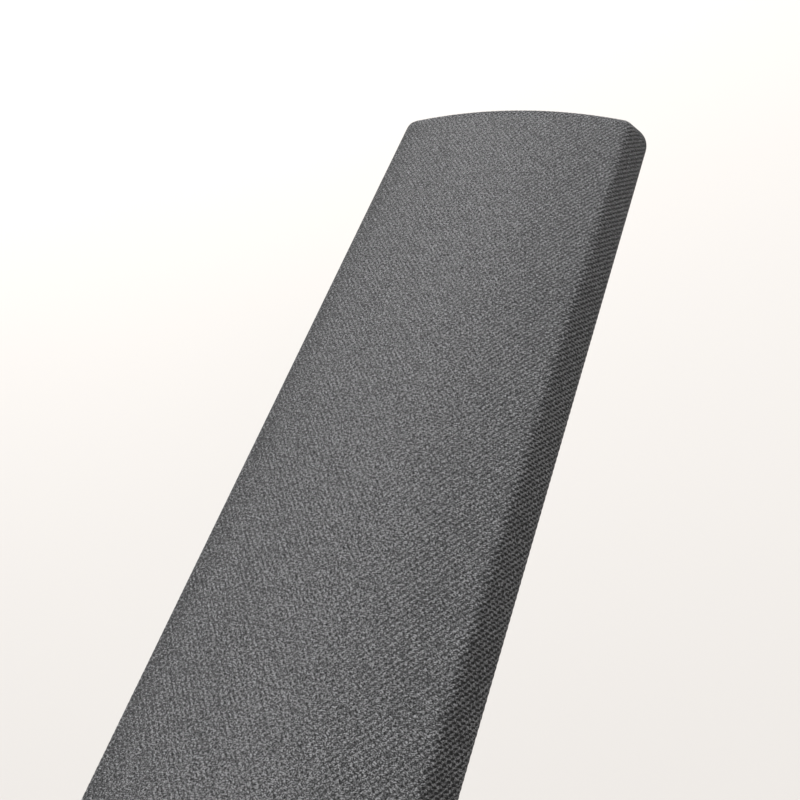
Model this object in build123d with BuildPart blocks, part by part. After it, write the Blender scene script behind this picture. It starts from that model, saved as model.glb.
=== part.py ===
"""Upholstered armrest pad for an office chair.

A bevelled foam pad stands on a plywood core board. Wadding softens the foam, and one piece of
cloth is drawn over it, turned under the board and stapled. A moulded plastic base cover hides the
staples. Four T-nuts in the board take the bolts of the chair's arm bracket.

Frame: millimetres, +Y along the pad, +X across it, +Z up. The origin is the centre of the base
cover's underside, the face that the arm bracket clamps.
"""

from build123d import *

import math
import os

# ---------------------------------------------------------------- driving dimensions
PAD_LENGTH = 268.0
PAD_WIDTH = 90.0
PAD_HEIGHT = 26.0
CORNER_RADIUS = 8.0  # plan corners at the widest line
END_BOW = 6.0  # how far the middle of each end stands past its corners
WIDEST_Z = 15.0  # height of the widest line round the pad
TOP_INSET = 5.0  # from the widest line to the crease round the top
BOTTOM_INSET = 5.0  # from the widest line to the foot of the tucked-under side
CROWN = 1.8  # rise of the top face from its long edges to its centre line
CREASE_RADIUS = 3.2
WAIST_RADIUS = 5.0
WAIST_BULGE = 0.65  # how far past the rounded widest line the two side slopes would meet
FOOT_RADIUS = 4.0

CLOTH = 1.0
WADDING = 1.5
HEM_Z = 2.5  # lower face of the turned-under hem
HEM_EDGE_INSET = 17.0  # the hem's raw edge
HEM_CORNER_RADIUS = 3.0

BOARD_THICKNESS = 9.0
BOARD_INSET = 8.0
BOARD_CORNER_RADIUS = 5.0
BOARD_EDGE_RADIUS = 1.0

# M6 T-nuts on the bolt pattern of the arm bracket
BOLT_SPACING_X = 40.0
BOLT_SPACING_Y = 90.0
THREAD_RADIUS = 3.0
BARREL_RADIUS = 3.9
T_NUT_LENGTH = 8.4
FLANGE_RADIUS = 9.5
FLANGE_THICKNESS = 1.5
PRONGS = 4
PRONG_LENGTH = 5.0
PRONG_WIDTH = 3.2
PRONG_THICKNESS = 1.2
PRONG_PITCH_RADIUS = 8.0
BOLT_TIP_RADIUS = 4.0  # holes punched in the foam, so that a bolt may stand past its T-nut
BOLT_TIP_ROOM = 4.0

# Upholstery staples
STAPLE_CROWN = 10.0
WIRE_WIDTH = 0.95
WIRE_THICKNESS = 0.65
STAPLE_LEG = 6.0
STAPLE_INSET = 13.0
SIDE_STAPLES = 9
SIDE_STAPLE_PITCH = 24.0
END_STAPLES = 3
END_STAPLE_PITCH = 17.0
CORNER_STAPLE_X = 29.2
CORNER_STAPLE_Y = 114.2

# Base cover
BASE_INSET = 9.5
BASE_CORNER_RADIUS = 7.0
BASE_PLATE = 1.7
LIP_WIDTH = 2.0
BASE_EDGE_RADIUS = 0.8
BOLT_CLEARANCE_RADIUS = 3.6
BOLT_BOSS_RADIUS = 7.0
RIB_THICKNESS = 1.4
LONG_RIB_X = 10.0
LONG_RIB_LENGTH = 208.0
CROSS_RIB_LENGTH = 42.0
CROSS_RIB_PITCH = 26.0
CROSS_RIBS = 8

# Self-tapping screws that hold the base cover to the board
SCREW_X = 22.0
SCREW_PITCH_Y = 96.0
SCREW_ROWS = 3
SCREW_RADIUS = 1.75
SCREW_LENGTH = 9.0
SCREW_POINT = 2.5
HEAD_RADIUS = 3.4
HEAD_HEIGHT = 1.8
HEAD_EDGE_RADIUS = 0.7
HEAD_SEAT_Z = 2.3
SCREW_BOSS_RADIUS = 5.4
HEAD_RECESS_RADIUS = 3.9
SHANK_CLEARANCE_RADIUS = 2.0
DRIVE_SPAN = 3.6
DRIVE_WIDTH = 0.8
DRIVE_DEPTH = 1.1

# ---------------------------------------------------------------- worked out from those
BOARD_Z = HEM_Z + CLOTH
BOARD_TOP_Z = BOARD_Z + BOARD_THICKNESS
CREASE_Z = PAD_HEIGHT - CROWN
UPPER_TAPER = math.degrees(math.atan2(TOP_INSET + WAIST_BULGE, CREASE_Z - WIDEST_Z))
LOWER_TAPER = math.degrees(math.atan2(BOTTOM_INSET + WAIST_BULGE, WIDEST_Z - HEM_Z))
CREST_HALF_WIDTH = PAD_WIDTH / 2 - TOP_INSET
CROWN_RADIUS = (CREST_HALF_WIDTH**2 + CROWN**2) / (2 * CROWN)


# ---------------------------------------------------------------- shapes used more than once
def pad_outline(inset, corner_radius=None):
    """The pad's plan outline, moved in by inset: straight sides, bowed ends, round corners."""
    half_width = PAD_WIDTH / 2 - inset
    half_length = PAD_LENGTH / 2 - inset
    shoulder = half_length - END_BOW
    radius = corner_radius or max(CORNER_RADIUS - inset, 1.0)
    with BuildSketch() as outline:
        with BuildLine():
            Line((half_width, -shoulder), (half_width, shoulder))
            ThreePointArc((half_width, shoulder), (0, half_length), (-half_width, shoulder))
            Line((-half_width, shoulder), (-half_width, -shoulder))
            ThreePointArc((-half_width, -shoulder), (0, -half_length), (half_width, -shoulder))
        make_face()
        fillet(outline.vertices(), radius)
    return outline.sketch


def cushion(depth):
    """The pad's cushion shape with its whole surface moved in by depth."""
    waist_inset = depth / math.cos(math.radians((UPPER_TAPER + LOWER_TAPER) / 2)) - WAIST_BULGE
    bottom_z = HEM_Z + depth
    with BuildPart() as form:
        with BuildSketch(Plane.XY.offset(WIDEST_Z)):
            add(pad_outline(waist_inset))
        extrude(amount=PAD_HEIGHT - WIDEST_Z + 1, taper=UPPER_TAPER)
        with BuildSketch(Plane.XY.offset(WIDEST_Z)):
            add(pad_outline(waist_inset))
        extrude(amount=-(WIDEST_Z - bottom_z), taper=LOWER_TAPER)
        with BuildSketch(Plane.XZ):
            with Locations((0, PAD_HEIGHT - CROWN_RADIUS)):
                Circle(CROWN_RADIUS - depth)
        extrude(amount=PAD_LENGTH, both=True, mode=Mode.INTERSECT)
        fillet(form.faces().sort_by(Axis.Z)[-1].edges(), CREASE_RADIUS - depth)
        fillet(form.faces().sort_by(Axis.Z)[0].edges(), FOOT_RADIUS - depth)
        waist = form.edges().filter_by_position(Axis.Z, WIDEST_Z - 0.1, WIDEST_Z + 0.1)
        fillet(waist, WAIST_RADIUS - depth)
    return form.part


outer_form = cushion(0)
under_cloth = cushion(CLOTH)
under_wadding = cushion(CLOTH + WADDING)


# ---------------------------------------------------------------- T-nuts
with BuildPart() as t_nuts:
    bolt_places = GridLocations(BOLT_SPACING_X, BOLT_SPACING_Y, 2, 2)
    with BuildSketch(Plane.XY.offset(BOARD_TOP_Z)):
        with bolt_places:
            Circle(FLANGE_RADIUS)
    extrude(amount=FLANGE_THICKNESS)
    with BuildSketch(Plane.XY.offset(BOARD_TOP_Z)):
        with bolt_places:
            Circle(BARREL_RADIUS)
    extrude(amount=-T_NUT_LENGTH)
    with BuildSketch(Plane.XY.offset(BOARD_TOP_Z)):
        with bolt_places:
            with PolarLocations(PRONG_PITCH_RADIUS, PRONGS, start_angle=45):
                Rectangle(PRONG_THICKNESS, PRONG_WIDTH)
    extrude(amount=-PRONG_LENGTH)
    with BuildSketch(Plane.XY.offset(BOARD_TOP_Z + FLANGE_THICKNESS)):
        with bolt_places:
            Circle(THREAD_RADIUS)
    extrude(amount=-(T_NUT_LENGTH + FLANGE_THICKNESS), mode=Mode.SUBTRACT)


# ---------------------------------------------------------------- hem staples
def staple():
    """One staple: crown flat under the hem, legs up into the board. Its length lies along Y."""
    crown_z = HEM_Z - WIRE_THICKNESS
    leg_y = STAPLE_CROWN / 2 - WIRE_THICKNESS / 2
    with BuildPart() as wire:
        with BuildSketch(Plane.XY.offset(crown_z)):
            Rectangle(WIRE_WIDTH, STAPLE_CROWN)
        extrude(amount=WIRE_THICKNESS)
        with BuildSketch(Plane.XY.offset(crown_z)):
            with Locations((0, leg_y), (0, -leg_y)):
                Rectangle(WIRE_WIDTH, WIRE_THICKNESS)
        extrude(amount=WIRE_THICKNESS + STAPLE_LEG)
    return wire.part


def staple_places():
    """Where the staples go: along both sides, across both ends and over the corner pleats."""
    side_x = PAD_WIDTH / 2 - STAPLE_INSET
    end_y = PAD_LENGTH / 2 - STAPLE_INSET - 1.8
    places = []
    for side in (-1, 1):
        for step in range(SIDE_STAPLES):
            y = (step - (SIDE_STAPLES - 1) / 2) * SIDE_STAPLE_PITCH
            places.append(Location((side * side_x, y, 0)))
        for step in range(END_STAPLES):
            x = (step - (END_STAPLES - 1) / 2) * END_STAPLE_PITCH
            places.append(Location((x, side * end_y, 0), (0, 0, 90)))
    for side_x in (-1, 1):
        for side_y in (-1, 1):
            turn = 45 * side_x * side_y
            spot = (side_x * CORNER_STAPLE_X, side_y * CORNER_STAPLE_Y, 0)
            places.append(Location(spot, (0, 0, turn)))
    return places


with BuildPart() as hem_staples:
    with Locations(*staple_places()):
        add(staple())


# ---------------------------------------------------------------- base cover screws
def cover_screw():
    """One self-tapping screw, head down: rounded head, plain shank, point in the board."""
    head_low = HEAD_SEAT_Z - HEAD_HEIGHT
    point_z = HEAD_SEAT_Z + SCREW_LENGTH
    with BuildPart() as screw:
        with BuildSketch(Plane.XZ):
            with BuildLine():
                Polyline(
                    (0, head_low),
                    (HEAD_RADIUS, head_low),
                    (HEAD_RADIUS, HEAD_SEAT_Z),
                    (SCREW_RADIUS, HEAD_SEAT_Z),
                    (SCREW_RADIUS, point_z - SCREW_POINT),
                    (0, point_z),
                    close=True,
                )
            make_face()
        revolve(axis=Axis.Z)
        rim = screw.edges().filter_by(GeomType.CIRCLE).sort_by(Axis.Z)[0]
        fillet(rim, HEAD_EDGE_RADIUS)
        with BuildSketch(Plane.XY.offset(head_low)):
            Rectangle(DRIVE_SPAN, DRIVE_WIDTH)
            Rectangle(DRIVE_WIDTH, DRIVE_SPAN)
        extrude(amount=DRIVE_DEPTH, mode=Mode.SUBTRACT)
    return screw.part


with BuildPart() as cover_screws:
    with GridLocations(2 * SCREW_X, SCREW_PITCH_Y, 2, SCREW_ROWS):
        add(cover_screw())


# ---------------------------------------------------------------- core board
with BuildPart() as core_board:
    with BuildSketch(Plane.XY.offset(BOARD_Z)):
        add(pad_outline(BOARD_INSET, BOARD_CORNER_RADIUS))
    extrude(amount=BOARD_THICKNESS)
    board_faces = core_board.faces().sort_by(Axis.Z)
    fillet(board_faces[0].edges() + board_faces[-1].edges(), BOARD_EDGE_RADIUS)
    solid_board = core_board.part
    with BuildSketch(Plane.XY.offset(BOARD_Z)):
        with bolt_places:
            Circle(BARREL_RADIUS)
    extrude(amount=BOARD_THICKNESS, mode=Mode.SUBTRACT)
    add(t_nuts.part, mode=Mode.SUBTRACT)
    add(hem_staples.part, mode=Mode.SUBTRACT)
    add(cover_screws.part, mode=Mode.SUBTRACT)


# ---------------------------------------------------------------- foam pad
with BuildPart() as foam_pad:
    add(under_wadding)
    add(solid_board, mode=Mode.SUBTRACT)
    add(t_nuts.part, mode=Mode.SUBTRACT)
    with BuildSketch(Plane.XY.offset(BOARD_TOP_Z)):
        with bolt_places:
            Circle(BOLT_TIP_RADIUS)
    extrude(amount=FLANGE_THICKNESS + BOLT_TIP_ROOM, mode=Mode.SUBTRACT)


# ---------------------------------------------------------------- wadding
with BuildPart() as wadding:
    add(under_cloth)
    add(under_wadding, mode=Mode.SUBTRACT)
    add(solid_board, mode=Mode.SUBTRACT)


# ---------------------------------------------------------------- fabric cover
with BuildPart() as fabric_cover:
    add(outer_form)
    add(under_cloth, mode=Mode.SUBTRACT)
    with BuildSketch(Plane.XY.offset(HEM_Z)):
        add(pad_outline(HEM_EDGE_INSET, HEM_CORNER_RADIUS))
    extrude(amount=CLOTH, mode=Mode.SUBTRACT)
    add(hem_staples.part, mode=Mode.SUBTRACT)


# ---------------------------------------------------------------- base cover
with BuildPart() as base_cover:
    with BuildSketch():
        add(pad_outline(BASE_INSET, BASE_CORNER_RADIUS))
    extrude(amount=HEM_Z)
    fillet(base_cover.faces().sort_by(Axis.Z)[0].edges(), BASE_EDGE_RADIUS)
    with BuildSketch(Plane.XY.offset(BASE_PLATE)):
        add(pad_outline(BASE_INSET + LIP_WIDTH, BASE_CORNER_RADIUS - LIP_WIDTH))
    extrude(amount=HEM_Z, mode=Mode.SUBTRACT)
    with BuildSketch(Plane.XY.offset(BASE_PLATE)):
        with bolt_places:
            Circle(BOLT_BOSS_RADIUS)
        with GridLocations(2 * SCREW_X, SCREW_PITCH_Y, 2, SCREW_ROWS):
            Circle(SCREW_BOSS_RADIUS)
        with GridLocations(2 * LONG_RIB_X, 0, 2, 1):
            Rectangle(RIB_THICKNESS, LONG_RIB_LENGTH)
        with GridLocations(0, CROSS_RIB_PITCH, 1, CROSS_RIBS):
            Rectangle(CROSS_RIB_LENGTH, RIB_THICKNESS)
    extrude(amount=BOARD_Z - BASE_PLATE)
    with BuildSketch():
        with bolt_places:
            Circle(BOLT_CLEARANCE_RADIUS)
        with GridLocations(2 * SCREW_X, SCREW_PITCH_Y, 2, SCREW_ROWS):
            Circle(SHANK_CLEARANCE_RADIUS)
    extrude(amount=BOARD_Z, mode=Mode.SUBTRACT)
    with BuildSketch():
        with GridLocations(2 * SCREW_X, SCREW_PITCH_Y, 2, SCREW_ROWS):
            Circle(HEAD_RECESS_RADIUS)
    extrude(amount=HEAD_SEAT_Z, mode=Mode.SUBTRACT)


# ---------------------------------------------------------------- named parts
PARTS = {
    "fabric_cover": fabric_cover,
    "wadding": wadding,
    "foam_pad": foam_pad,
    "core_board": core_board,
    "t_nuts": t_nuts,
    "hem_staples": hem_staples,
    "base_cover": base_cover,
    "cover_screws": cover_screws,
}

os.makedirs("parts", exist_ok=True)
for name, built in PARTS.items():
    built.part.label = name
    export_step(built.part, f"parts/{name}.step")
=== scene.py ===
"""Upholstered armrest pad: woven cover, wadding, foam and underside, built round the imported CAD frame."""

import math

import bmesh
import bpy
import numpy as np
from mathutils import Matrix, Vector


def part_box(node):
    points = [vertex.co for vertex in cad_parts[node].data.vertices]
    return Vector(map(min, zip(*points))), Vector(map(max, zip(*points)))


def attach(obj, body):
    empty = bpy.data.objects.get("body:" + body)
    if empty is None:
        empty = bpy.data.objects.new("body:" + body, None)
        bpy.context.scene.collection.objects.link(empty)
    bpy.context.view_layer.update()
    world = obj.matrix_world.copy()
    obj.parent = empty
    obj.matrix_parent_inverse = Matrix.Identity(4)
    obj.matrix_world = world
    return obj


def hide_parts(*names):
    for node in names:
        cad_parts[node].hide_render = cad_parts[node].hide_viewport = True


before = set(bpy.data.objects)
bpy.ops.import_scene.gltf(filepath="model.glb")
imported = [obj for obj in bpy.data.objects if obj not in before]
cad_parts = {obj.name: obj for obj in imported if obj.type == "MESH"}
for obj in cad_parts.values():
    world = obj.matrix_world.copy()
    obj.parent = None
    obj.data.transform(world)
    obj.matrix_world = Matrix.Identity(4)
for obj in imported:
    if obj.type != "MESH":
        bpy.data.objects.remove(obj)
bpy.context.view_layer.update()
scene = bpy.context.scene
MM = 0.001

# ------------------------------------------------------------------ sizes, in millimetres
cover_low, cover_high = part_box("fabric_cover")
HALF_WIDTH = (cover_high[0] - cover_low[0]) / 2 / MM
HALF_LENGTH = (cover_high[1] - cover_low[1]) / 2 / MM
TOP_Z = cover_high[2] / MM
HEM_Z = cover_low[2] / MM
WAIST_Z = 15.0
CROWN = 1.8
TOP_INSET = 5.0
WAIST_BULGE = 0.65
CREASE_RADIUS = 3.2
WAIST_RADIUS = 5.0
FOOT_RADIUS = 4.0
HEM_EDGE_INSET = 17.0
CLOTH = 1.0
LINING_DEPTH = 0.95
WADDING = 1.5
CREASE_Z = TOP_Z - CROWN
CREST_HALF = HALF_WIDTH - TOP_INSET
BEVEL_RUN = (TOP_INSET + WAIST_BULGE) / (CREASE_Z - WAIST_Z)
BEVEL_ANGLE = math.pi / 2 - math.atan(BEVEL_RUN)
TUCK_ANGLE = math.pi / 2 + math.atan((TOP_INSET + WAIST_BULGE) / (WAIST_Z - HEM_Z))

# The outline where the top starts to turn over: straight sides, bowed ends, round corners.
SIDE_TURN_INSET = 1.61
END_TURN_INSET = 7.9
SIDE_X = CREST_HALF - SIDE_TURN_INSET
END_Y = HALF_LENGTH - END_TURN_INSET
END_RADIUS = 217.0
TURN_RADIUS = 1.25
END_CENTRE_Y = END_Y - END_RADIUS
TURN_X = SIDE_X - TURN_RADIUS
TURN_Y = END_CENTRE_Y + math.sqrt((END_RADIUS - TURN_RADIUS) ** 2 - TURN_X**2)
TURN_START = math.atan2(TURN_Y - END_CENTRE_Y, TURN_X)

# The hem's mitre: how near it comes to the corner's centre, and how it widens along the edges.
MITRE_RADIUS = 0.15
MITRE_SLOPE = 1 / math.tan(TURN_START / 2)

# The weave: its gaps and crossings alternate on a grid of this pitch, which is also the mesh's grid.
PITCH_U = 0.85
PITCH_V = 0.98
RELIEF = 0.05

# The pleats at each corner. FOLD_AT is the share of a pleat that rises before its fold drops.
PLEATS = 5
PLEAT_HEIGHT = 0.8
FOLD_AT = 0.86

# Distances along the cloth, from where the top turns over.
PLEAT_GROWS = (12.0, 22.0)
PLEAT_FADES = (25.0, 28.0)
WEAVE_FADES = (24.0, 26.0)
SWELL_FADES = (16.0, 20.0)
SPARE_CLOTH_FOLDS = (10.0, 17.0)
FOLDS_START = 8.0
BELOW_WAIST = 20.0
PAST_HEM = 60.0
WADDING_STOPS_SHORT = 10.5

# How many pitches wide the mesh's cells are, on each layer.
COVER_CELL, LINING_CELL, WADDING_CELL, SWELL_CELL = 1, 4, 3, 6


# ------------------------------------------------------------------ how the cloth lies on the pad
def crown_height(x):
    """Height of the top face at x."""
    return TOP_Z - CROWN * (x / CREST_HALF) ** 2


def crown_slope(x):
    """The top face's fall at x."""
    return 2 * CROWN * x / CREST_HALF**2


def section(d, top_z, slope):
    """The pad's edge in section. d is the distance along the cloth from where the top turns over,
    top_z the height there and slope the top's own fall. Returns how far out, how high, and the
    angle of the cloth below the horizontal."""
    a0 = np.arctan(slope)
    a1, a2, a3 = BEVEL_ANGLE, TUCK_ANGLE, math.pi
    t1 = CREASE_RADIUS * np.tan((a1 - a0) / 2)
    t2 = WAIST_RADIUS * math.tan((a2 - a1) / 2)
    t3 = FOOT_RADIUS * math.tan((a3 - a2) / 2)
    bevel = (top_z - t1 * np.sin(a0) - WAIST_Z) / math.sin(a1)
    tuck = (WAIST_Z - HEM_Z) / math.sin(a2)
    ends = [
        CREASE_RADIUS * (a1 - a0),
        bevel - t1 - t2,
        WAIST_RADIUS * (a2 - a1),
        tuck - t2 - t3,
        FOOT_RADIUS * (a3 - a2),
    ]
    out, z, left, angle = 0 * d, top_z + 0 * d, np.maximum(d, 0), a0 + 0 * d
    radii = (CREASE_RADIUS, None, WAIST_RADIUS, None, FOOT_RADIUS)
    for length, radius in zip(ends, radii):
        run = np.minimum(left, length)
        if radius:
            turned = angle + run / radius
            out = out + radius * (np.sin(turned) - np.sin(angle))
            z = z + radius * (np.cos(turned) - np.cos(angle))
            angle = turned
        else:
            out = out + run * np.cos(angle)
            z = z - run * np.sin(angle)
        left = left - run
    out = out + left * np.cos(angle)
    z = z - left * np.sin(angle)
    return out, z, angle


def hem_distance():
    """Distance along the cloth from the turn to the hem's raw edge, at the long sides."""
    d = np.linspace(0, PAST_HEM, 6001)
    out, _, _ = section(d, crown_height(SIDE_X), crown_slope(SIDE_X))
    past_edge = (d > BELOW_WAIST) & (SIDE_X + out < HALF_WIDTH - HEM_EDGE_INSET)
    return d[past_edge][0]


CLOTH_REACH = hem_distance()


def lay(u, v, depth=0.0):
    """Where the point (u, v) of the flat cloth lies on the pad, its outward normal, its distance d
    past the turn, and its corner angle from 0 to 1 (outside the corners, less than 0 or more
    than 1). depth goes inwards from the cloth's outer face."""
    x, y = np.abs(u), np.abs(v)
    from_turn = np.arctan2(y - TURN_Y, x - TURN_X)
    from_end = np.arctan2(y - END_CENTRE_Y, x)
    in_corner = (from_turn > 0) & (from_turn < TURN_START)
    at_end = (from_end >= TURN_START) & ~in_corner
    side_d = x - SIDE_X
    end_d = np.hypot(x, y - END_CENTRE_Y) - END_RADIUS
    corner_d = np.hypot(x - TURN_X, y - TURN_Y) - TURN_RADIUS
    d = np.where(in_corner, corner_d, np.where(at_end, end_d, side_d))
    angle = np.where(in_corner, from_turn, np.where(at_end, from_end, 0.0))
    nx, ny = np.cos(angle), np.sin(angle)
    end_x, end_y = END_RADIUS * nx, END_CENTRE_Y + END_RADIUS * ny
    turn_x = np.where(in_corner, TURN_X + TURN_RADIUS * nx, np.where(at_end, end_x, SIDE_X))
    turn_y = np.where(in_corner, TURN_Y + TURN_RADIUS * ny, np.where(at_end, end_y, y))
    outside = d > 0
    out, z, fall = section(d, crown_height(turn_x), crown_slope(turn_x) * nx)
    # the hem is cut away at the corners in a mitre, so that it doesn't fold over itself
    along_end = np.abs(from_end - TURN_START) * END_RADIUS
    along = np.where(in_corner, 0.0, np.where(at_end, along_end, TURN_Y - y))
    out = np.maximum(out, MITRE_RADIUS - TURN_RADIUS - MITRE_SLOPE * along)
    n_out, n_z = np.sin(fall), np.cos(fall)
    px = np.where(outside, turn_x + nx * out, x)
    py = np.where(outside, turn_y + ny * out, y)
    pz = np.where(outside, z, crown_height(x))
    lean = crown_slope(x)
    size = np.sqrt(1 + lean**2)
    qx = np.where(outside, nx * n_out, lean / size)
    qy = np.where(outside, ny * n_out, 0.0)
    qz = np.where(outside, n_z, 1 / size)
    sx, sy = np.where(u < 0, -1.0, 1.0), np.where(v < 0, -1.0, 1.0)
    normal = np.stack([qx * sx, qy * sy, qz], -1)
    place = np.stack([px * sx, py * sy, pz], -1) - depth * normal
    corner = np.where(in_corner, from_turn / TURN_START, np.where(at_end, 2.0, -1.0))
    return place, normal, d, corner


def smooth_step(x, low, high):
    """From 0 at low to 1 at high, with no corner at either."""
    t = np.clip((x - low) / (high - low), 0, 1)
    return t * t * (3 - 2 * t)


def cloth_grid(coarse, reach):
    """A grid on the flat cloth, each cell a whole number of weave pitches wide, out to reach past
    the turn. Returns the points, the quads and the points' grid numbers."""
    du, dv = coarse * PITCH_U, coarse * PITCH_V
    nu = int((SIDE_X + reach) / du) + 2
    nv = int((END_Y + reach) / dv) + 2
    i, j = np.meshgrid(np.arange(-nu, nu + 1), np.arange(-nv, nv + 1), indexing="ij")
    u, v = i * du, j * dv
    d = lay(u, v)[2]
    inside = d <= reach + du * 0.4
    whole = inside[:-1, :-1] & inside[1:, :-1] & inside[1:, 1:] & inside[:-1, 1:]
    corners = [
        (slice(None, -1), slice(None, -1)),
        (slice(1, None), slice(None, -1)),
        (slice(1, None), slice(1, None)),
        (slice(None, -1), slice(1, None)),
    ]
    number = np.arange(i.size).reshape(i.shape)
    quads = np.stack([number[c][whole] for c in corners], -1)
    used = np.unique(quads)
    place_of = np.full(i.size, -1)
    place_of[used] = np.arange(len(used))
    return u.ravel()[used], v.ravel()[used], place_of[quads], i.ravel()[used], j.ravel()[used]


def rim_loop(quads):
    """The vertices round the open edge of a grid of quads, in order."""
    edges = np.concatenate([quads[:, [k, (k + 1) % 4]] for k in range(4)])
    low, high = edges.min(1), edges.max(1)
    keys = low.astype(np.int64) * (quads.max() + 1) + high
    _, first, count = np.unique(keys, return_index=True, return_counts=True)
    rim = edges[first[count == 1]]
    after = {int(a): int(b) for a, b in rim}
    loop = [int(rim[0, 0])]
    while after[loop[-1]] != loop[0]:
        loop.append(after[loop[-1]])
    return np.array(loop)


def pull_to_rim(u, v, rim, reach):
    """Moves the grid's edge vertices on to the line at reach past the turn."""
    step = 0.05
    for _ in range(3):
        d = lay(u[rim], v[rim])[2]
        gu = (lay(u[rim] + step, v[rim])[2] - d) / step
        gv = (lay(u[rim], v[rim] + step)[2] - d) / step
        size = np.maximum(gu**2 + gv**2, 1e-6)
        u[rim] += (reach - d) * gu / size
        v[rim] += (reach - d) * gv / size
    return u, v


# ------------------------------------------------------------------ Blender helpers
def make_mesh(name, points_mm, faces, uv=None):
    """A mesh object from points in millimetres. uv is one pair for each face corner."""
    mesh = bpy.data.meshes.new(name)
    mesh.from_pydata((np.asarray(points_mm) * MM).tolist(), [], [list(map(int, f)) for f in faces])
    if uv is not None:
        layer = mesh.uv_layers.new(name="cloth")
        layer.data.foreach_set("uv", np.asarray(uv, dtype=np.float32).ravel())
    mesh.update()
    mesh.polygons.foreach_set("use_smooth", [True] * len(mesh.polygons))
    obj = bpy.data.objects.new(name, mesh)
    scene.collection.objects.link(obj)
    return obj


def weld(obj):
    """Makes one point of those that the mitred hem has gathered in one place, and takes out the
    faces that this leaves with no area."""
    bm = bmesh.new()
    bm.from_mesh(obj.data)
    bmesh.ops.remove_doubles(bm, verts=bm.verts, dist=0.001 * MM)
    bmesh.ops.dissolve_degenerate(bm, dist=0.01 * MM, edges=bm.edges)
    bm.to_mesh(obj.data)
    bm.free()


def zip_rims(outer, outer_key, inner, inner_key):
    """Triangles between two closed loops. The keys say how far round each vertex is, from 0 to 1."""
    a, b = np.argsort(outer_key, kind="stable"), np.argsort(inner_key, kind="stable")
    outer, outer_key, inner, inner_key = outer[a], outer_key[a], inner[b], inner_key[b]
    faces, i, j = [], 0, 0
    while i < len(outer) or j < len(inner):
        next_outer = outer_key[i] if i < len(outer) else 2
        next_inner = inner_key[j] if j < len(inner) else 2
        p, q = outer[(i - 1) % len(outer)], inner[(j - 1) % len(inner)]
        if next_outer <= next_inner:
            faces.append((p, outer[i], q))
            i += 1
        else:
            faces.append((p, inner[j], q))
            j += 1
    return faces


# ------------------------------------------------------------------ the pad's swell, by cloth simulation
SWELL_LIMIT = 0.45
SWELL_PINNED = 19.0
SWELL_REACH = 24.0
SWELL_FRAMES = 20


def spline_weights(t):
    """The weights of the four values round a point that is t of the way between the middle two."""
    return np.stack(
        [(1 - t) ** 3, 3 * t**3 - 6 * t**2 + 4, -3 * t**3 + 3 * t**2 + 3 * t + 1, t**3], -1
    ) / 6


class Swell:
    """How far the foam pushes each point of the stretched cloth out, from a cloth simulation."""

    def __init__(self):
        u, v, quads, i, j = cloth_grid(SWELL_CELL, SWELL_REACH)
        place, normal, d, _ = lay(u, v)
        self.low = np.array([i.min(), j.min()])
        self.table = np.zeros((i.max() - i.min() + 1, j.max() - j.min() + 1))
        obj = make_mesh("swell_trial", place, quads)
        pins = obj.vertex_groups.new(name="pinned")
        held = d > SWELL_PINNED
        pins.add([int(k) for k in np.nonzero(held)[0]], 1.0, "REPLACE")
        cloth = obj.modifiers.new("cloth", "CLOTH")
        s = cloth.settings
        s.quality = 6
        s.mass = 0.25
        s.tension_stiffness = 30
        s.compression_stiffness = 30
        s.shear_stiffness = 20
        s.bending_stiffness = 2
        s.use_pressure = True
        s.uniform_pressure_force = 3.0
        s.vertex_group_mass = "pinned"
        s.effector_weights.gravity = 0
        cloth.point_cache.frame_start, cloth.point_cache.frame_end = 1, SWELL_FRAMES
        for f in range(1, SWELL_FRAMES + 1):
            scene.frame_set(f)
        shape = obj.evaluated_get(bpy.context.evaluated_depsgraph_get()).to_mesh()
        after = np.zeros(len(shape.vertices) * 3)
        shape.vertices.foreach_get("co", after)
        moved = ((after.reshape(-1, 3) / MM - place) * normal).sum(1)
        scene.frame_set(1)
        bpy.data.objects.remove(obj, do_unlink=True)
        print("swell in the simulation, mm:", round(float(moved.min()), 3), round(float(moved.max()), 3))
        # only what goes outwards counts, and it is scaled down, because the pad is firm
        moved = np.clip(moved, 0, None)
        moved *= min(1.0, SWELL_LIMIT / max(float(moved.max()), 1e-6))
        self.table[i - self.low[0], j - self.low[1]] = moved

    def at(self, u, v):
        """The swell at points of the flat cloth, smoothed between the simulated ones."""
        fu = u / (SWELL_CELL * PITCH_U) - self.low[0]
        fv = v / (SWELL_CELL * PITCH_V) - self.low[1]
        iu, iv = np.floor(fu).astype(int), np.floor(fv).astype(int)
        wu, wv = spline_weights(fu - iu), spline_weights(fv - iv)
        total = 0 * u
        for a in range(4):
            for b in range(4):
                ia = np.clip(iu + a - 1, 0, self.table.shape[0] - 1)
                ib = np.clip(iv + b - 1, 0, self.table.shape[1] - 1)
                total = total + wu[..., a] * wv[..., b] * self.table[ia, ib]
        return total


# ------------------------------------------------------------------ the woven cover
def pleat_rise(corner, d):
    """Height of the folded pleats round a corner: each rises slowly and drops at its fold."""
    phase = np.mod(corner * PLEATS, 1.0)
    ramp = np.where(phase < FOLD_AT, phase / FOLD_AT, (1 - phase) / (1 - FOLD_AT))
    fade = smooth_step(corner, -0.02, 0.1) * smooth_step(1 - corner, -0.02, 0.1)
    return PLEAT_HEIGHT * (ramp - 0.5) * fade * smooth_step(d, *PLEAT_GROWS)


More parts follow.
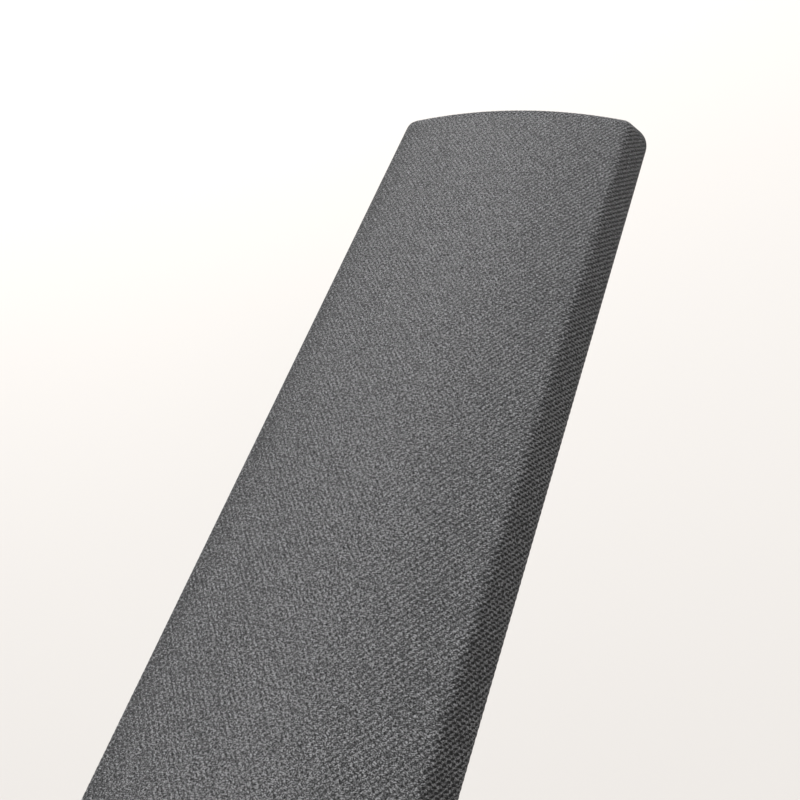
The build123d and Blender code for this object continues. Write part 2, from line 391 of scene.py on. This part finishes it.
def cover_uv(u, v, quads):
    """Cloth coordinates, in millimetres, for each face corner. Below the widest line the spare
    cloth of the corners is hidden in the pleats, so each pleat shows its own strip of cloth."""
    cu, cv = u[quads], v[quads]
    mid_u, mid_v = cu.mean(1), cv.mean(1)
    _, _, mid_d, mid_corner = lay(mid_u, mid_v)
    folded = (mid_corner > 0) & (mid_corner < 1) & (mid_d > FOLDS_START)
    uv = np.stack([cu, cv], -1)
    if folded.any():
        fu, fv = cu[folded], cv[folded]
        x, y = np.abs(fu), np.abs(fv)
        angle = np.arctan2(y - TURN_Y, x - TURN_X)
        radius = np.hypot(y - TURN_Y, x - TURN_X)
        panel = np.floor(np.clip(mid_corner[folded], 0, 0.9999) * PLEATS)
        mid = ((panel + 0.5) / PLEATS * TURN_START)[:, None]
        d = radius - TURN_RADIUS
        out = section(d, crown_height(SIDE_X), 0.0)[0]
        shown = np.maximum(TURN_RADIUS + out, MITRE_RADIUS)
        across = (radius + (shown - radius) * smooth_step(d, *SPARE_CLOTH_FOLDS)) * (angle - mid)
        nx, ny = np.cos(mid), np.sin(mid)
        pu = TURN_X + nx * radius - ny * across
        pv = TURN_Y + ny * radius + nx * across
        sx = np.where(mid_u[folded] < 0, -1.0, 1.0)[:, None]
        sy = np.where(mid_v[folded] < 0, -1.0, 1.0)[:, None]
        uv[folded] = np.stack([pu * sx, pv * sy], -1)
    return uv


def build_cover():
    """The cloth, outside and inside, as one closed mesh. Returns it and the area of its flat cut,
    in square millimetres."""
    u, v, quads, i, j = cloth_grid(COVER_CELL, CLOTH_REACH)
    rim = rim_loop(quads)
    u, v = pull_to_rim(u, v, rim, CLOTH_REACH)
    place, normal, d, corner = lay(u, v)
    rise = Swell().at(u, v) * (1 - smooth_step(d, *SWELL_FADES))
    weave = np.where((i + j) % 2 == 0, -RELIEF, RELIEF) * (1 - smooth_step(d, *WEAVE_FADES))
    in_corner = (corner > 0) & (corner < 1)
    pleats = np.where(in_corner, pleat_rise(corner, d), 0.0) * (1 - smooth_step(d, *PLEAT_FADES))
    outer = place + normal * (rise + weave + pleats)[:, None]
    # each quad is cut along the diagonal that joins its high or its low points, so that they
    # make ribs that run up and outwards
    uv = cover_uv(u, v, quads)
    uv = np.concatenate([uv[:, [0, 1, 2]], uv[:, [0, 2, 3]]]).reshape(-1, 2)
    triangles = np.concatenate([quads[:, [0, 1, 2]], quads[:, [0, 2, 3]]])

    u2, v2, quads2, _, _ = cloth_grid(LINING_CELL, CLOTH_REACH)
    rim2 = rim_loop(quads2)
    u2, v2 = pull_to_rim(u2, v2, rim2, CLOTH_REACH)
    inner = lay(u2, v2, LINING_DEPTH)[0]
    shift = len(outer)
    inner_quads = quads2[:, ::-1] + shift

    key = np.mod(np.arctan2(v[rim], u[rim]) / (2 * math.pi), 1)
    key2 = np.mod(np.arctan2(v2[rim2], u2[rim2]) / (2 * math.pi), 1)
    edge = np.array(zip_rims(rim, key, rim2 + shift, key2))
    flat = np.stack([np.concatenate([u, u2]), np.concatenate([v, v2])], -1)
    uv = np.concatenate([uv, flat[inner_quads].reshape(-1, 2), flat[edge].reshape(-1, 2)])
    faces = [*triangles, *inner_quads, *edge]
    obj = make_mesh("woven_cover", np.concatenate([outer, inner]), faces, uv)
    weld(obj)
    ahead = np.roll(rim, -1)
    return obj, abs(float((u[rim] * v[ahead] - u[ahead] * v[rim]).sum())) / 2


cover, cut_area = build_cover()


# ------------------------------------------------------------------ hidden soft layers
FOAM_CELL = 1.6

# Each layer stops this far short of what it lies on, and its surface is this uneven.
LAYER_GAP = 0.05
WADDING_UNEVEN = 0.12
FOAM_UNEVEN = 0.1


def build_wadding():
    """A fibre layer between cloth and foam, from the top round to the board's lower edge."""
    reach = CLOTH_REACH - WADDING_STOPS_SHORT
    u, v, quads, _, _ = cloth_grid(WADDING_CELL, reach)
    rim = rim_loop(quads)
    u, v = pull_to_rim(u, v, rim, reach)
    rng = np.random.default_rng(7)
    outer, normal, _, _ = lay(u, v, CLOTH)
    inner = outer - normal * (WADDING - LAYER_GAP - WADDING_UNEVEN * rng.random(len(u)))[:, None]
    n = len(u)
    ahead = np.roll(rim, -1)
    side = np.stack([ahead, ahead + n, rim + n, rim], -1)
    faces = [*quads, *(quads[:, ::-1] + n), *side]
    return make_mesh("wadding_layer", np.concatenate([outer, inner]), faces)


def build_foam():
    """The foam, from its CAD solid: remeshed fine enough for its cells to show."""
    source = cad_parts["foam_pad"]
    mesh = source.data.copy()
    mesh.transform(source.matrix_world)
    obj = bpy.data.objects.new("foam_core", mesh)
    scene.collection.objects.link(obj)
    remesh = obj.modifiers.new("remesh", "REMESH")
    remesh.mode = "VOXEL"
    remesh.voxel_size = FOAM_CELL * MM
    shape = obj.evaluated_get(bpy.context.evaluated_depsgraph_get())
    fine = bpy.data.meshes.new_from_object(shape)
    obj.modifiers.clear()
    obj.data = fine
    count = len(fine.vertices)
    co, no = np.zeros(count * 3), np.zeros(count * 3)
    fine.vertices.foreach_get("co", co)
    fine.vertices.foreach_get("normal", no)
    rng = np.random.default_rng(11)
    co -= no * np.repeat((FOAM_UNEVEN * rng.random(count) + LAYER_GAP) * MM, 3)
    fine.vertices.foreach_set("co", co)
    fine.update()
    fine.polygons.foreach_set("use_smooth", [True] * len(fine.polygons))
    return obj


wadding = build_wadding()
foam = build_foam()


# ------------------------------------------------------------------ materials
class Nodes:
    """A short way to write a material's nodes."""

    def __init__(self, name):
        self.material = bpy.data.materials.new(name)
        self.material.use_nodes = True
        self.tree = self.material.node_tree
        self.shader = self.tree.nodes["Principled BSDF"]

    def put(self, socket, value):
        if isinstance(value, bpy.types.NodeSocket):
            self.tree.links.new(value, socket)
        else:
            socket.default_value = value

    def math(self, operation, *values, clamp=False):
        node = self.tree.nodes.new("ShaderNodeMath")
        node.operation = operation
        node.use_clamp = clamp
        for socket, value in zip(node.inputs, values):
            self.put(socket, value)
        return node.outputs[0]

    def add(self, a, b, clamp=False):
        return self.math("ADD", a, b, clamp=clamp)

    def sub(self, a, b):
        return self.math("SUBTRACT", a, b)

    def mul(self, a, b, clamp=False):
        return self.math("MULTIPLY", a, b, clamp=clamp)

    def wave(self, turns):
        """From 1 down to -1 and back as turns goes from 0 to 1."""
        return self.math("COSINE", self.mul(turns, 2 * math.pi))

    def mix(self, factor, a, b):
        """Between two numbers."""
        node = self.tree.nodes.new("ShaderNodeMix")
        node.data_type = "FLOAT"
        self.put(node.inputs[0], factor)
        self.put(node.inputs[2], a)
        self.put(node.inputs[3], b)
        return node.outputs[0]

    def colour(self, factor, a, b):
        """Between two colours."""
        node = self.tree.nodes.new("ShaderNodeMix")
        node.data_type = "RGBA"
        self.put(node.inputs[0], factor)
        for socket, value in ((node.inputs[6], a), (node.inputs[7], b)):
            self.put(socket, value if isinstance(value, bpy.types.NodeSocket) else (*value, 1))
        return node.outputs[2]

    def vector(self, x, y, z=0.0):
        node = self.tree.nodes.new("ShaderNodeCombineXYZ")
        for socket, value in zip(node.inputs, (x, y, z)):
            self.put(socket, value)
        return node.outputs[0]

    def split(self, vector):
        node = self.tree.nodes.new("ShaderNodeSeparateXYZ")
        self.put(node.inputs[0], vector)
        return node.outputs

    def noise(self, vector, scale, detail=2.0, rough=0.5, part="Fac"):
        node = self.tree.nodes.new("ShaderNodeTexNoise")
        self.put(node.inputs["Vector"], vector)
        node.inputs["Scale"].default_value = scale
        node.inputs["Detail"].default_value = detail
        node.inputs["Roughness"].default_value = rough
        return node.outputs[part]

    def scatter(self, vector):
        """One random number for each whole-number cell."""
        node = self.tree.nodes.new("ShaderNodeTexWhiteNoise")
        self.put(node.inputs["Vector"], vector)
        return node.outputs["Value"]

    def bump(self, height, distance, strength=1.0):
        node = self.tree.nodes.new("ShaderNodeBump")
        node.inputs["Strength"].default_value = strength
        node.inputs["Distance"].default_value = distance
        self.put(node.inputs["Height"], height)
        self.tree.links.new(node.outputs[0], self.shader.inputs["Normal"])

    def place(self):
        """Position in the row frame, in metres."""
        node = self.tree.nodes.new("ShaderNodeTexCoord")
        return node.outputs["Object"]

    def finish(self, colour, roughness, **fixed):
        """Sets the shader's inputs. fixed holds those that are the same all over."""
        self.put(self.shader.inputs["Base Color"], colour)
        self.put(self.shader.inputs["Roughness"], roughness)
        for name, value in fixed.items():
            self.shader.inputs[name.replace("_", " ")].default_value = value
        return self.material


YARN_WANDER = 1.1
TIGHT_BEFORE_END = 2.0
CLOTH_BUMP = 0.0002
GAP_COLOUR = (0.010, 0.010, 0.0105)
YARN_COLOUR = (0.34, 0.34, 0.348)


def woven_cloth():
    """Charcoal upholstery cloth: uneven grey strands in ribs that run up and outwards, dark gaps
    between the ribs, and cross lines where the cloth is pulled tight round the pad's edge."""
    n = Nodes("woven_cloth")
    uv = n.tree.nodes.new("ShaderNodeUVMap")
    uv.uv_map = "cloth"
    u, v, _ = n.split(uv.outputs[0])
    flat = n.vector(u, v)
    fuzz = n.noise(flat, 4.4, 3.0, 0.85)
    cloud = n.noise(flat, 0.035, 3.0, 0.55)

    # the yarns wander a little; p and q count the weave's pitches
    wander = n.split(n.noise(flat, 0.5, 3.0, 0.65, "Color"))
    x = n.add(u, n.mul(n.sub(wander[0], 0.5), YARN_WANDER))
    y = n.add(v, n.mul(n.sub(wander[1], 0.5), YARN_WANDER))
    p, q = n.math("DIVIDE", x, PITCH_U), n.math("DIVIDE", y, PITCH_V)
    cell_a = n.math("FLOOR", n.mul(n.add(p, q), 0.5))
    cell_b = n.math("FLOOR", n.mul(n.sub(p, q), 0.5))
    per_cell = n.scatter(n.vector(cell_a, cell_b))

    # the cloth is pulled tight round the pad's edge, and its gaps open there
    past_side = n.sub(n.math("ABSOLUTE", u), SIDE_X)
    past_end = n.sub(n.math("ABSOLUTE", v), END_Y - TIGHT_BEFORE_END)
    tight = n.add(n.mul(n.math("MAXIMUM", past_side, past_end), 0.35), 0.1, clamp=True)

    # the gaps line up into ribs: these show most towards one side and where the cloth is tight
    ribbed = n.math("MAXIMUM", n.mul(n.add(u, 5.0), 0.03, clamp=True), tight)
    rib_depth = n.add(n.mix(ribbed, 0.25, 0.65), n.mul(tight, 0.4))
    gap = n.mul(n.wave(n.mul(n.sub(p, q), 0.5)), rib_depth)
    gap = n.add(gap, n.mul(n.wave(n.mul(n.add(p, q), 0.5)), n.mix(ribbed, 0.4, 0.1)))
    gap = n.add(gap, n.mul(n.wave(q), n.mix(tight, 0.05, 0.95)))
    dome = n.sub(0.5, n.mul(gap, 0.5))
    hole = n.mul(n.add(gap, 0.25), n.mix(tight, 0.9, 1.2), clamp=True)
    not_hole = n.sub(1.0, n.mul(hole, n.mix(tight, 0.68, 1.0)))

    # strands: in each cell they lean one way or the other, at random
    leaning = n.math("GREATER_THAN", n.scatter(n.vector(cell_a, cell_b, 5.0)), 0.5)
    strand_at = n.add(n.mul(q, 2.0), n.mul(n.mix(leaning, -0.5, 0.5), p))
    strand_at = n.add(strand_at, n.mul(per_cell, 0.5))
    strand = n.math("SINE", n.mul(n.math("FRACT", strand_at), math.pi))
    # each strand shows as short dashes, where it passes over the ones below
    dash_at = n.add(p, n.mul(per_cell, 0.6))
    dash = n.math("ABSOLUTE", n.math("SINE", n.mul(dash_at, math.pi)))
    strand = n.mul(strand, n.mix(dash, 0.35, 1.0))
    strand_number = n.add(n.mul(n.math("FLOOR", dash_at), 9.0), n.math("FLOOR", strand_at))
    per_strand = n.scatter(n.vector(cell_a, cell_b, strand_number))
    strand_height = n.mul(n.math("POWER", strand, 0.9), per_strand)

    # uneven yarn: short light and dark dashes along the ribs
    across, along = n.mul(n.sub(x, y), 2.4), n.mul(n.add(x, y), 1.4)
    grain = n.noise(n.vector(across, along), 1.0, 2.0, 0.7)

    height = n.mul(dome, n.mix(per_cell, 0.7, 1.1))
    height = n.add(height, n.mul(strand_height, 0.8))
    height = n.add(height, n.mul(n.sub(fuzz, 0.5), 0.9))
    height = n.add(height, n.mul(n.sub(grain, 0.5), 2.0))
    n.bump(height, CLOTH_BUMP)

    # colour: nearly black in the gaps, uneven greys on the strands
    lit = n.mul(not_hole, n.add(0.25, strand_height))
    lit = n.mul(lit, n.mix(fuzz, -1.0, 3.0))
    lit = n.mul(lit, n.mix(grain, -4.0, 6.0))
    # painted light: a highlight a little lighter down the middle, and shade darker along the left edge
    painted_highlight_middle = n.math("POWER", n.math("COSINE", n.mul(n.add(u, 1.0), 0.036)), 2.0)
    lit = n.mul(lit, n.mix(painted_highlight_middle, 0.92, 1.12))
    painted_shade_left_edge = n.mul(n.add(u, 32.0), -0.13, clamp=True)
    lit = n.mul(lit, n.mix(painted_shade_left_edge, 1.0, 0.72))
    # painted highlight: a little lighter where the cloth turns over the pad's edge
    lit = n.mul(lit, n.mix(tight, 1.0, 1.07))
    lit = n.mul(n.math("MAXIMUM", lit, 0.0), n.mix(cloud, 0.9, 1.1))
    lit = n.mul(n.math("POWER", lit, 1.2), 1.01, clamp=True)
    return n.finish(
        n.colour(lit, GAP_COLOUR, YARN_COLOUR),
        n.mix(dome, 0.95, 0.80),
        IOR=1.45,
        Sheen_Weight=0.10,
        Sheen_Roughness=0.45,
        Sheen_Tint=(0.9, 0.92, 0.95, 1),
    )


def fibre_wadding():
    """White polyester fibres in soft clumps."""
    n = Nodes("fibre_wadding")
    place = n.place()
    fibres = n.noise(place, 900.0, 6.0, 0.75)
    clumps = n.noise(place, 90.0, 3.0, 0.5)
    n.bump(n.add(fibres, clumps), 0.0006, 0.8)
    colour = n.colour(fibres, (0.62, 0.62, 0.60), (0.92, 0.92, 0.90))
    return n.finish(colour, n.mix(clumps, 0.85, 1.0))


def open_foam():
    """Cream foam with open cells, a little yellowed in places."""
    n = Nodes("open_foam")
    cells = n.tree.nodes.new("ShaderNodeTexVoronoi")
    cells.inputs["Scale"].default_value = 1400.0
    n.put(cells.inputs["Vector"], n.place())
    depth = cells.outputs["Distance"]
    tone = n.noise(n.place(), 40.0, 3.0, 0.5)
    n.bump(depth, 0.0004, 0.7)
    pores = n.colour(depth, (0.30, 0.28, 0.22), (0.78, 0.75, 0.64))
    colour = n.colour(n.mul(tone, 0.3), pores, (0.80, 0.72, 0.55))
    return n.finish(colour, n.mix(depth, 0.95, 0.8))


TWO_PLIES = 0.0026


def plywood():
    """Birch veneers: light and dark plies up the edge, grain along the faces."""
    n = Nodes("plywood")
    x, y, z = n.split(n.place())
    grain = n.noise(n.vector(n.mul(x, 12.0), y, z), 55.0, 6.0, 0.65)
    ply = n.math("SINE", n.mul(z, 2 * math.pi / TWO_PLIES))
    layer = n.mul(n.add(ply, 1.0), 0.5)
    wood = n.colour(grain, (0.46, 0.31, 0.17), (0.74, 0.57, 0.37))
    n.bump(grain, 0.0003, 0.5)
    colour = n.colour(n.mul(layer, 0.45), wood, (0.36, 0.23, 0.12))
    return n.finish(colour, n.mix(grain, 0.62, 0.8))


def spark_plastic():
    """Black polypropylene with the fine eroded texture of a moulding tool."""
    n = Nodes("spark_plastic")
    place = n.place()
    grit = n.noise(place, 1500.0, 3.0, 0.6)
    broad = n.noise(place, 28.0, 3.0, 0.5)
    n.bump(grit, 0.00012, 0.7)
    colour = n.colour(n.mul(broad, grit), (0.017, 0.017, 0.018), (0.034, 0.034, 0.036))
    return n.finish(colour, n.mix(broad, 0.50, 0.66), IOR=1.49)


def plated_steel(name, dark, light, rough_low, rough_high, metallic=1.0):
    """Plated or blackened steel, blotched where the finish is thinner."""
    n = Nodes(name)
    place = n.place()
    blotch = n.noise(place, 260.0, 4.0, 0.6)
    fine = n.noise(place, 2600.0, 2.0, 0.5)
    n.bump(fine, 0.00004, 0.5)
    return n.finish(n.colour(blotch, dark, light), n.mix(blotch, rough_low, rough_high), Metallic=metallic)


def set_material(obj, material):
    """Gives a new piece its only material."""
    obj.data.materials.clear()
    obj.data.materials.append(material)


def paint_node(node, material):
    """A carried-over CAD node keeps its mesh and gets a better material in its object's slots."""
    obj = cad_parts[node]
    for slot in obj.material_slots:
        slot.link = "OBJECT"
        slot.material = material


set_material(cover, woven_cloth())
set_material(wadding, fibre_wadding())
set_material(foam, open_foam())
paint_node("core_board", plywood())
paint_node("base_cover", spark_plastic())
paint_node("t_nuts", plated_steel("zinc_steel", (0.50, 0.50, 0.47), (0.68, 0.68, 0.66), 0.28, 0.42))
paint_node("hem_staples", plated_steel("staple_wire", (0.52, 0.52, 0.52), (0.70, 0.70, 0.70), 0.22, 0.38))
paint_node(
    "cover_screws", plated_steel("black_screw", (0.03, 0.03, 0.032), (0.07, 0.07, 0.072), 0.35, 0.5, 0.9)
)

# ------------------------------------------------------------------ each piece joins the root body, and the CAD node it replaces is hidden
for piece, node, slot_name in (
    (cover, "fabric_cover", "cover_cloth"),
    (wadding, "wadding", "wadding_fibre"),
    (foam, "foam_pad", "foam"),
):
    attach(piece, "root")
    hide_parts(node)

# ------------------------------------------------------------------ camera
CAMERA_PLACE = Vector((94.95, -92.91, 206.15)) * MM
CAMERA_FORWARD = Vector((-0.4174, 0.4382, -0.7961))
CAMERA_UP = Vector((-0.1427, 0.8336, 0.5337))
CAMERA_LENS = 36.09
camera_data = bpy.data.cameras.new("camera")
camera_data.sensor_width = 36.0
camera_data.lens = CAMERA_LENS
camera_data.clip_start = 0.005
camera = bpy.data.objects.new("camera", camera_data)
scene.collection.objects.link(camera)
back = -CAMERA_FORWARD.normalized()
right = CAMERA_UP.cross(back).normalized()
up = back.cross(right)
turn = Matrix((right, up, back)).transposed().to_4x4()
camera.matrix_world = Matrix.Translation(CAMERA_PLACE) @ turn
scene.camera = camera

# ------------------------------------------------------------------ floor and light
FLOOR_Z = -0.30
FLOOR_HALF = 6.0


def build_floor():
    """A plain pale floor, some way below the pad."""
    mesh = bpy.data.meshes.new("floor")
    corners = [(x * FLOOR_HALF, y * FLOOR_HALF, FLOOR_Z) for x, y in ((-1, -1), (1, -1), (1, 1), (-1, 1))]
    mesh.from_pydata(corners, [], [(0, 1, 2, 3)])
    obj = bpy.data.objects.new("floor", mesh)
    scene.collection.objects.link(obj)
    n = Nodes("pale_floor")
    soft = n.noise(n.place(), 1.6, 2.0, 0.4)
    set_material(obj, n.finish(n.colour(soft, (0.665, 0.64, 0.615), (0.685, 0.66, 0.635)), 0.9))


def area_light(name, place, aim, size, power):
    """A square white light that points at aim."""
    data = bpy.data.lights.new(name, "AREA")
    data.shape = "SQUARE"
    data.size = size
    data.energy = power
    obj = bpy.data.objects.new(name, data)
    obj.location = place
    obj.rotation_euler = (Vector(aim) - Vector(place)).to_track_quat("-Z", "Y").to_euler()
    scene.collection.objects.link(obj)


build_floor()
area_light("key", (-1.5, 2.7, 2.3), (0, 0, 0), 2.2, 255.0)
area_light("fill", (1.5, -1.3, 1.3), (0.1, -0.1, -0.1), 1.6, 14.0)

world = bpy.data.worlds.new("world")
scene.world = world
world.use_nodes = True
sky = world.node_tree.nodes["Background"]
sky.inputs["Color"].default_value = (1.0, 0.99, 0.975, 1)
sky.inputs["Strength"].default_value = 0.26

scene.view_settings.view_transform = "Standard"
scene.view_settings.look = "None"
scene.view_settings.exposure = 0.0
